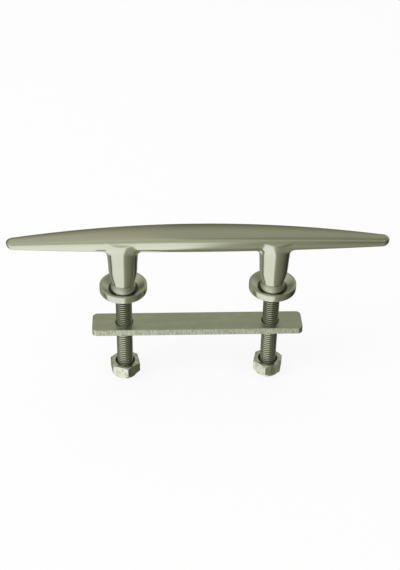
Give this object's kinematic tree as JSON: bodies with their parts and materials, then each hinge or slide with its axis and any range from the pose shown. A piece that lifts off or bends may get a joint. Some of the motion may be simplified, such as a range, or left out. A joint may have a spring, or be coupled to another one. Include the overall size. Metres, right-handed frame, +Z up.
{
  "type": "boat cleat",
  "caption": "Stud-mount boat cleat: a long tapered horn bar on two legs, dished deck rings, threaded studs, a flat backing plate and lock nuts.",
  "frame": {"origin": "on the deck face, midway between the two studs", "axes": "+X along the horn bar, +Z up out of the deck, -Y towards the viewer of the picture"},
  "size_m": [0.225, 0.0286, 0.1076],
  "materials": {
    "polished_casting": "polished investment-cast stainless steel",
    "polished_ring": "turned and polished stainless steel",
    "stud_steel": "bright rolled stainless thread",
    "plate_steel": "satin stainless flat bar with sawn edges",
    "nut_steel": "bright stainless steel",
    "nylon": "plain pale nylon"
  },
  "bodies": {
    "cleat": {"cleat_body": "polished_casting", "left_stud": "stud_steel", "right_stud": "stud_steel"},
    "left_ring": {"left_deck_ring": "polished_ring"},
    "right_ring": {"right_deck_ring": "polished_ring"},
    "plate": {"backing_plate": "plate_steel"},
    "left_nut_carrier": {"left_nut_insert": "nylon"},
    "left_nut": {"left_nut": "nut_steel"},
    "right_nut_carrier": {"right_nut_insert": "nylon"},
    "right_nut": {"right_nut": "nut_steel"}
  },
  "joints": [
    {"name": "left_ring_turn", "type": "hinge", "parent": "cleat", "child": "left_ring", "pos_m": [-0.045, 0, 0], "axis": [0, 0, 1], "continuous": true},
    {"name": "right_ring_turn", "type": "hinge", "parent": "cleat", "child": "right_ring", "pos_m": [0.045, 0, 0], "axis": [0, 0, 1], "continuous": true},
    {"name": "plate_slide", "type": "slide", "parent": "cleat", "child": "plate", "axis": [0, 0, 1], "range_m": [-0.007, 0.0234]},
    {"name": "left_nut_travel", "type": "slide", "parent": "cleat", "child": "left_nut_carrier", "axis": [0, 0, 1], "range_m": [0, 0.0185]},
    {"name": "left_nut_turn", "type": "hinge", "parent": "left_nut_carrier", "child": "left_nut", "pos_m": [-0.045, 0, -0.0539], "axis": [0, 0, 1], "range_deg": [0, 4441]},
    {"name": "right_nut_travel", "type": "slide", "parent": "cleat", "child": "right_nut_carrier", "axis": [0, 0, 1], "range_m": [0, 0.0185]},
    {"name": "right_nut_turn", "type": "hinge", "parent": "right_nut_carrier", "child": "right_nut", "pos_m": [0.045, 0, -0.0539], "axis": [0, 0, 1], "range_deg": [0, 4441]}
  ],
  "couplings": [
    {"joint": "left_nut_turn", "follows": "left_nut_travel", "rad_per_m": 4188.8},
    {"joint": "right_nut_turn", "follows": "right_nut_travel", "rad_per_m": 4188.8}
  ]
}
